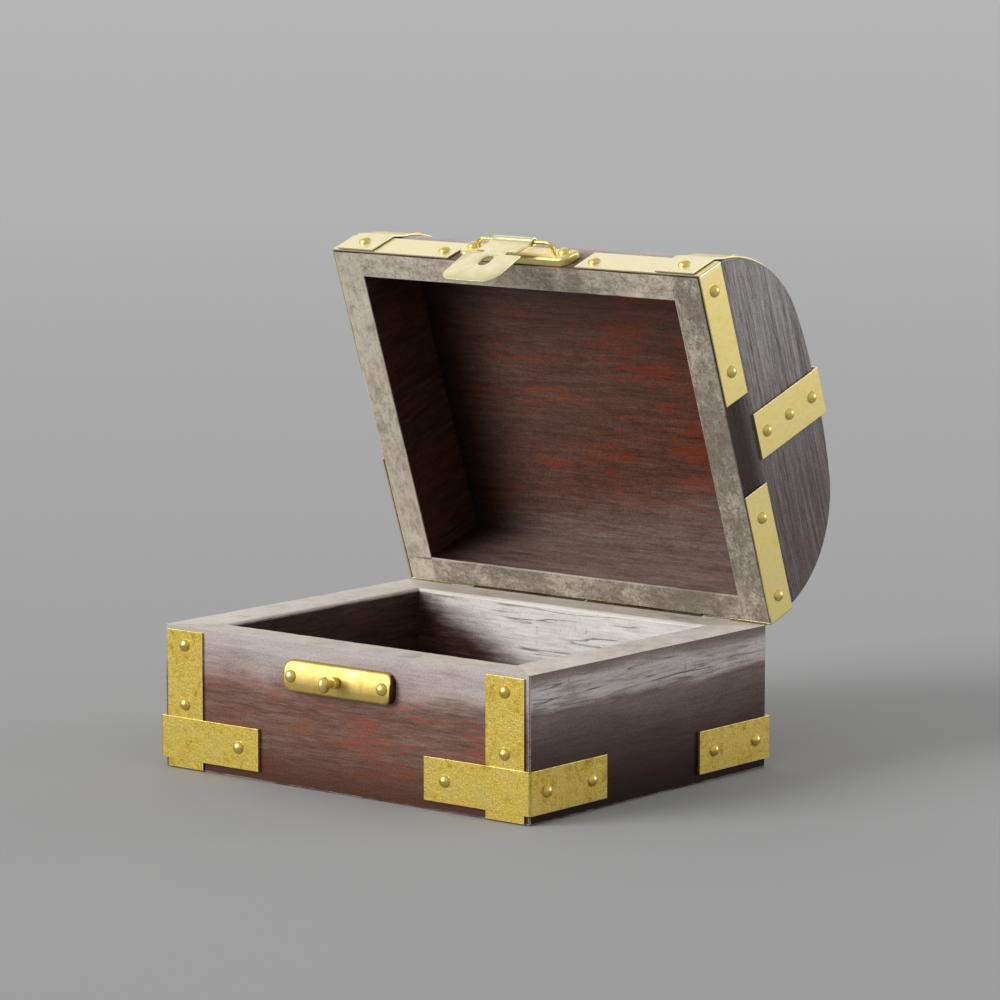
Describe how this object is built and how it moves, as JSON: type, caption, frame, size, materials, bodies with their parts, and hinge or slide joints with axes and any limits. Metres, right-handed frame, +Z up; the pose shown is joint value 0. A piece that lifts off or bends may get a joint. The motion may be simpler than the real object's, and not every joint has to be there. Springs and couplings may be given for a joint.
{
  "type": "jewelry chest",
  "caption": "Small domed-lid wooden chest with brass straps, corner brackets, a slotted hasp flap and a turning catch, shown with its lid open.",
  "frame": {"origin": "centre of the chest's flat underside", "axes": "+Z up, the front with the catch towards -Y, +X to the right when facing the front"},
  "size_m": [0.1656, 0.177, 0.1801],
  "materials": {
    "dark_wood": "dark red-brown stain, satin, worn grey at the edges",
    "brass": "fine-grained, lightly worn",
    "hinge_steel": "plain"
  },
  "bodies": {
    "base": {"base_back_board": "dark_wood", "base_back_left_bracket": "brass", "base_back_left_strap": "brass", "base_back_right_bracket": "brass", "base_back_right_strap": "brass", "base_bottom_panel": "dark_wood", "base_front_board": "dark_wood", "base_front_left_bracket": "brass", "base_front_left_strap": "brass", "base_front_right_bracket": "brass", "base_front_right_strap": "brass", "base_left_board": "dark_wood", "base_right_board": "dark_wood", "catch_plate": "brass", "catch_plate_left_rivet": "brass", "catch_plate_right_rivet": "brass", "hinge_left_base_inner_screw": "brass", "hinge_left_base_leaf": "brass", "hinge_left_base_outer_screw": "brass", "hinge_left_pin": "hinge_steel", "hinge_right_base_inner_screw": "brass", "hinge_right_base_leaf": "brass", "hinge_right_base_outer_screw": "brass", "hinge_right_pin": "hinge_steel"},
    "lid": {"hasp_bail": "brass", "hasp_plate": "brass", "hasp_plate_left_rivet": "brass", "hasp_plate_right_rivet": "brass", "hinge_left_lid_inner_screw": "brass", "hinge_left_lid_leaf": "brass", "hinge_left_lid_outer_screw": "brass", "hinge_right_lid_inner_screw": "brass", "hinge_right_lid_leaf": "brass", "hinge_right_lid_outer_screw": "brass", "lid_back_left_bracket": "brass", "lid_back_rail": "dark_wood", "lid_back_right_bracket": "brass", "lid_dome_panel": "dark_wood", "lid_front_left_bracket": "brass", "lid_front_rail": "dark_wood", "lid_front_right_bracket": "brass", "lid_left_dome_strap": "brass", "lid_left_end": "dark_wood", "lid_left_end_strap": "brass", "lid_right_dome_strap": "brass", "lid_right_end": "dark_wood", "lid_right_end_strap": "brass"},
    "flap": {"hasp_flap": "brass"},
    "knob": {"catch_knob": "brass"}
  },
  "joints": [
    {"name": "lid_hinge", "type": "hinge", "parent": "base", "child": "lid", "pos_m": [0, 0.0651, 0.0482], "axis": [-1, 0, 0], "range_deg": [-70.7, 34.3]},
    {"name": "hasp_hinge", "type": "hinge", "parent": "lid", "child": "flap", "pos_m": [0, 0.02635, 0.17852], "axis": [-1, 0, 0], "range_deg": [-4, 160]},
    {"name": "knob_turn", "type": "hinge", "parent": "base", "child": "knob", "pos_m": [0, -0.064, 0.0383], "axis": [0, 1, 0], "range_deg": [0, 90]}
  ]
}
